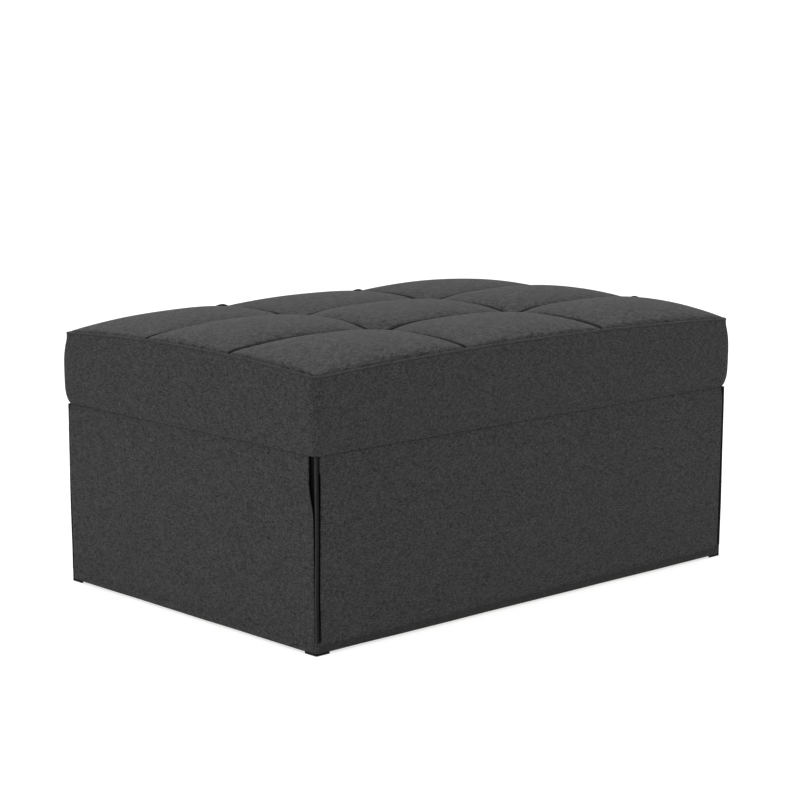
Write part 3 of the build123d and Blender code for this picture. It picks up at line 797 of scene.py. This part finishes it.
def make_quilt():
    X, Y = np.meshgrid(tile_places(HALF_WIDTH), tile_places(HALF_DEPTH), indexing="ij")
    tile_x, tx, power_x, from_x = in_tile(X, HALF_WIDTH)
    tile_y, ty, power_y, from_y = in_tile(Y, HALF_DEPTH)
    fullness = np.clip(1 - tx**2, 0, 1) ** power_x * np.clip(1 - ty**2, 0, 1) ** power_y
    crown = np.array(TILE_CROWNS)[tile_x, tile_y] * fullness
    to_edge = np.minimum((1 - np.abs(X)) * HALF_WIDTH, (1 - np.abs(Y)) * HALF_DEPTH)
    z = quilt_height(X, Y, from_x, from_y, to_edge, fullness, crown)
    x, y = quilt_plan(X, Y)
    top = np.stack([x, y, z], axis=-1).reshape(-1, 3)
    under = np.stack([x * UNDER_SHARES[0], y * UNDER_SHARES[1], np.full_like(z, PANEL_BOTTOM)], axis=-1)
    under = under.reshape(-1, 3)
    # places on the cloth are measured along its surface, so the weave isn't drawn out where it is steep
    place = np.stack([surface_run(x, z, 0), surface_run(y, z, 1), 0 * x], axis=-1).reshape(-1, 3)
    # the sewn channels are painted darker, as the shade in their bottoms and on their sides
    from_seam = np.where(to_edge > 4, np.minimum(from_x, from_y), np.inf)
    from_seam = np.maximum(from_seam[:-1, :-1], from_seam[1:, 1:])
    channel = np.where(from_seam < SEAM_DEEP_SHADE, 2, np.where(from_seam < SEAM_HALF_SHADE, 3, 0))
    n, m = X.shape
    faces = grid_faces(n, m)
    lower = [tuple(v + n * m for v in f) for f in faces]
    rim = [i * m for i in range(n)] + [(n - 1) * m + j for j in range(1, m)]
    rim += [i * m + m - 1 for i in range(n - 2, -1, -1)] + list(range(m - 2, 0, -1))
    walls = [(a, b, b + n * m, a + n * m) for a, b in zip(rim, rim[1:] + rim[:1])]
    kinds = list(channel.ravel()) + [1] * (len(lower) + len(walls))
    shape = Shape()
    shape.add(np.concatenate([top, under]), np.concatenate([place, place]), faces + lower + walls, kinds)
    piece = shape.make(
        "cover_quilt", "cover", [TOP_CLOTH, LINING_AND_SHADE_PAINT, DEEP_SHADE_PAINT, HALF_SHADE_PAINT], ["top_panel"]
    )


# Welt

WELT_HALF_WIDTH, WELT_HALF_HEIGHT = 1.9, 2.0
WELT_LIFT, WELT_INSET = 1.7, 0.7         # its middle above the boxing's top and inside its outline
WELT_SIDES = 16
WELT_ENDS = (1, 0.9975, 0.994, 0.989, 0.982, 0.97)
HIGH_TUCK, DARK_REACH = 4, 14            # rise above which a tuck is painted dark as shade, and how far to each side


def squared(value):
    """A sine or cosine that makes a circle squarer."""
    return math.copysign(abs(value) ** 0.8, value)


def make_welt():
    """Flat top-stitched welt along the whole top edge."""
    shape = Shape()
    for name, out in SIDES.items():
        distance, reach = sizes(out)
        rise, breadth, seams_at = TUCKS[name]
        shares = both_ways(WELT_ENDS, 0.95, 121)
        ripple = Ripple(0.25, 40)
        loops, places = [], []
        for q in shares:
            tuck = rise * sum(math.exp(-(((q * reach - spot) / breadth) ** 4)) for spot in seams_at)
            height = BAND_TOP + EDGE_RISE * arch(q, rise_fullness(out)) + WELT_LIFT
            loop, spots = [], []
            for k in range(WELT_SIDES):
                turn = 2 * math.pi * (k + 0.5) / WELT_SIDES
                off = WELT_HALF_WIDTH * squared(math.cos(turn)) - WELT_INSET
                tall = WELT_HALF_HEIGHT * squared(math.sin(turn))
                al, d, left = round_end(q, distance + off, reach + off, corner_radius(name, q) + off)
                waver = ripple.at(q * reach, 0) * min(1, left / 20)
                # only the upper half rises in a tuck, so that no gap opens under it
                z = height + tall + (tuck if tall > 0 else 0)
                loop.append(side_point(out, d - EDGE_PULL * arch(q) + waver, al, z))
                spots.append((al, 3 * k, 0))
            loops.append(loop)
            places.append(spots)
        from_tuck = [min(abs(q * reach - spot) for spot in seams_at) for q in shares]
        shape.sweep(loops, places, lambda i, j: 1 if rise > HIGH_TUCK and from_tuck[i] < DARK_REACH else 0)
    shape.make("cover_welt", "cover", [TOP_CLOTH, LINING_AND_SHADE_PAINT], ["top_welt"])


# Mattress pads

PAD_CORNER, PAD_EDGE = 30.0, 9.0         # rounding in plan and of the upper and lower edges
PAD_INSET, PAD_WAIST = 2.8, 1.8          # how far the wall lies inside the solid's, and what its waist gains
STRAIGHT_STEPS, CORNER_STEPS, EDGE_STEPS = 19, 8, 8
FACE_RINGS, FACE_INSET = 14, 2.0
SAG = 2.4                                # how far the lying side sinks in
PIPING_PLACE, PIPING_INSET = 6.5, 1.1    # down from the face and in from the side
PIPING_WIDTH, PIPING_HEIGHT, PIPING_SIDES = 1.6, 1.8, 8


def pad_side(half):
    """Points round a pad's plan with the outward direction at each."""
    side = []
    for out in ((1, 0), (0, 1), (-1, 0), (0, -1)):
        a, b = (half[0], half[1]) if out[0] else (half[1], half[0])
        for s in np.linspace(PAD_CORNER - b, b - PAD_CORNER, STRAIGHT_STEPS):
            side.append((out[0] * a - out[1] * s, out[1] * a + out[0] * s, out[0], out[1]))
        start = math.atan2(out[1], out[0])
        cx = (half[0] - PAD_CORNER) * (1 if math.cos(start + math.pi / 4) > 0 else -1)
        cy = (half[1] - PAD_CORNER) * (1 if math.sin(start + math.pi / 4) > 0 else -1)
        for k in range(1, CORNER_STEPS):
            t = start + k / CORNER_STEPS * math.pi / 2
            nx, ny = math.cos(t), math.sin(t)
            side.append((cx + PAD_CORNER * nx, cy + PAD_CORNER * ny, nx, ny))
    return np.array(side, float)


def pad_profile(half_height):
    """Inset and height down the wall of a pad, from the upper edge to the lower one."""
    straight = half_height - PAD_EDGE
    turns = [k / EDGE_STEPS * math.pi / 2 for k in range(EDGE_STEPS, -1, -1)]
    upper = [(PAD_EDGE * (1 - math.cos(t)), straight + PAD_EDGE * math.sin(t)) for t in turns]
    walls = [(0.0, z) for z in np.linspace(straight - 4, 4 - straight, 7)]
    return upper + walls + [(inset, -z) for inset, z in upper[::-1]]


def make_pad(section):
    low, high = (np.array(c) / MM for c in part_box(f"{section}_mattress"))
    middle, half = (low + high) / 2, (high - low) / 2
    # the side that faces away from the slats is the one that is lain on
    slats_low, slats_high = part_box(f"{section}_slats")
    lying_side = 1 if low[2] + high[2] > (slats_low[2] + slats_high[2]) / MM else -1
    side = pad_side(half)
    n = len(side)
    along = np.concatenate([[0], np.cumsum(np.hypot(*np.diff(side[:, :2], axis=0).T))])
    drape, dimple, wall = Ripple(0.9, 210), Ripple(0.45, 75), Ripple(0.45, 120)
    shape = Shape()

    def inside(corner, inset, height):
        x, y, nx, ny = corner
        return (middle[0] + x - nx * inset, middle[1] + y - ny * inset, middle[2] + height)

    profile = pad_profile(half[2])
    points, places = [], []
    for inset, z in profile:
        waist = PAD_WAIST * math.cos(math.pi * z / 2 / half[2]) ** 2
        for corner, run in zip(side, along):
            points.append(inside(corner, inset + PAD_INSET - waist + wall.at(run, z), z))
            places.append((run, z, 0))
    shape.add(points, places, grid_faces(len(profile), n, wrap=True), 0)

    for sign in (1, -1):
        points, places = [], []
        for r in range(FACE_RINGS):
            k = 1 - r / FACE_RINGS
            # the lying side is a little uneven; the other is flat on the slats
            loose = math.sin(min(1, 4 * (1 - k)) * math.pi / 2) * (sign == lying_side)
            for x, y, nx, ny in side:
                px, py = (x - nx * (PAD_EDGE + FACE_INSET)) * k, (y - ny * (PAD_EDGE + FACE_INSET)) * k
                dip = loose * (SAG + drape.at(px, py) + dimple.at(px, py))
                points.append((middle[0] + px, middle[1] + py, middle[2] + sign * (half[2] - dip)))
                places.append((px, py, 0))
        points.append((middle[0], middle[1], middle[2] + sign * half[2]))
        places.append((0, 0, 0))
        last, centre = (FACE_RINGS - 1) * n, FACE_RINGS * n
        faces = grid_faces(FACE_RINGS, n, wrap=True)
        faces += [(last + i, last + (i + 1) % n, centre) for i in range(n)]
        shape.add(points, places, faces, 0)

    m = PIPING_SIDES
    turns = [2 * math.pi * k / m for k in range(m)]
    ring_faces = [
        (i * m + k, (i + 1) % n * m + k, (i + 1) % n * m + (k + 1) % m, i * m + (k + 1) % m)
        for i in range(n) for k in range(m)
    ]
    for sign in (1, -1):
        z = sign * (half[2] - PIPING_PLACE)
        points = [
            inside(corner, PIPING_INSET - PIPING_WIDTH * math.cos(t), z + PIPING_HEIGHT * math.sin(t))
            for corner in side for t in turns
        ]
        places = [(run, 2 * k, 0) for run in along for k in range(m)]
        shape.add(points, places, ring_faces, 1)
    piece = shape.make(
        f"pad_{section}", section, [TICKING, PIPING], [f"{section}_mattress"]
    )
    weld = piece.modifiers.new("weld", "WELD")
    weld.merge_threshold = 0.05 * MM


# Stage, lights and camera

# Radius and height of the stage's rings in metres
STAGE_PROFILE = ((30, 0), (45, 0), (50, 0.3), (54, 1.2), (57, 3), (58.5, 5.5), (59, 9))
STAGE_SIDES = 64
TABLE_GLOW = 0.66
SKY = {"From Min": 0.0, "From Max": 1.0, "To Min": 0.40, "To Max": 1.60}    # horizon to zenith
LENS, SENSOR = 103.47, 36
CAMERA_PLACE = (-2.7636, -2.9423, 1.00913)
CAMERA_RIGHT, CAMERA_UP = (0.73036, -0.68306, 0.00224), (0.11543, 0.12664, 0.98521)
CAMERA_FORWARD = (0.67324, 0.7193, -0.17134)


def make_stage():
    """A wide lit table whose far rim curves up; part of its light comes from below the surface."""
    g = Graph("pale_floor")
    place = g.add("ShaderNodeTexCoord").outputs["Object"]
    g.shade(
        Base_Color=g.mix(g.noise(place, scale=3), grey(0.44), grey(0.46)),
        Roughness=0.9,
        Specular_IOR_Level=0.1,
        Emission_Color=(1, 1, 1, 1),
        Emission_Strength=TABLE_GLOW,
    )
    shape = bmesh.new()
    turns = [2 * math.pi * k / STAGE_SIDES for k in range(STAGE_SIDES)]
    rings = [
        [shape.verts.new((r * math.cos(t), r * math.sin(t), z)) for t in turns] for r, z in STAGE_PROFILE
    ]
    shape.faces.new(rings[0])
    for low, high in zip(rings, rings[1:]):
        for k in range(STAGE_SIDES):
            shape.faces.new((low[k], low[k - 1], high[k - 1], high[k])).smooth = True
    bmesh.ops.recalc_face_normals(shape, faces=shape.faces)
    data = bpy.data.meshes.new("floor")
    shape.to_mesh(data)
    shape.free()
    data.materials.append(g.material)
    floor = bpy.data.objects.new("floor", data)
    bpy.context.scene.collection.objects.link(floor)


def make_world():
    """White surroundings that are brighter above."""
    world = bpy.data.worlds.new("studio")
    bpy.context.scene.world = world
    world.use_nodes = True
    tree = world.node_tree
    background = tree.nodes["Background"]
    background.inputs["Color"].default_value = (1, 1, 1, 1)
    coordinates = tree.nodes.new("ShaderNodeTexCoord")
    split = tree.nodes.new("ShaderNodeSeparateXYZ")
    strength = tree.nodes.new("ShaderNodeMapRange")
    for key, value in SKY.items():
        strength.inputs[key].default_value = value
    tree.links.new(coordinates.outputs["Generated"], split.inputs[0])
    tree.links.new(split.outputs["Z"], strength.inputs["Value"])
    tree.links.new(strength.outputs[0], background.inputs["Strength"])


def area_light(name, place, target, size, power):
    data = bpy.data.lights.new(name, "AREA")
    data.shape, data.size, data.energy = "DISK", size, power
    light = bpy.data.objects.new(name, data)
    light.location = place
    light.rotation_euler = (Vector(target) - Vector(place)).to_track_quat("-Z", "Y").to_euler()
    bpy.context.scene.collection.objects.link(light)


def make_camera():
    data = bpy.data.cameras.new("camera")
    data.lens, data.sensor_width, data.clip_end = LENS, SENSOR, 2000
    camera = bpy.data.objects.new("camera", data)
    axes = Matrix((CAMERA_RIGHT, CAMERA_UP, -Vector(CAMERA_FORWARD)))
    camera.location = CAMERA_PLACE
    camera.rotation_mode = "QUATERNION"
    camera.rotation_quaternion = axes.transposed().to_quaternion().normalized()
    bpy.context.scene.collection.objects.link(camera)
    bpy.context.scene.camera = camera


finish_solids()
make_quilt()
make_welt()
for side_name, outward in SIDES.items():
    make_boxing(side_name, outward)
    make_skirt(side_name, outward)
make_pleats("front", -1)
make_pleats("rear", 1)
make_tabs()
for section_name in ("base", "middle", "top"):
    make_pad(section_name)
make_stage()
make_world()
area_light("overhead", (0.2, 0.3, 3.2), (0, 0, 0.3), 2.4, 34)
area_light("left_fill", (-3.2, -0.4, 0.8), (0, 0, 0.2), 2.0, 16)
make_camera()
bpy.context.scene.view_settings.view_transform = "Standard"
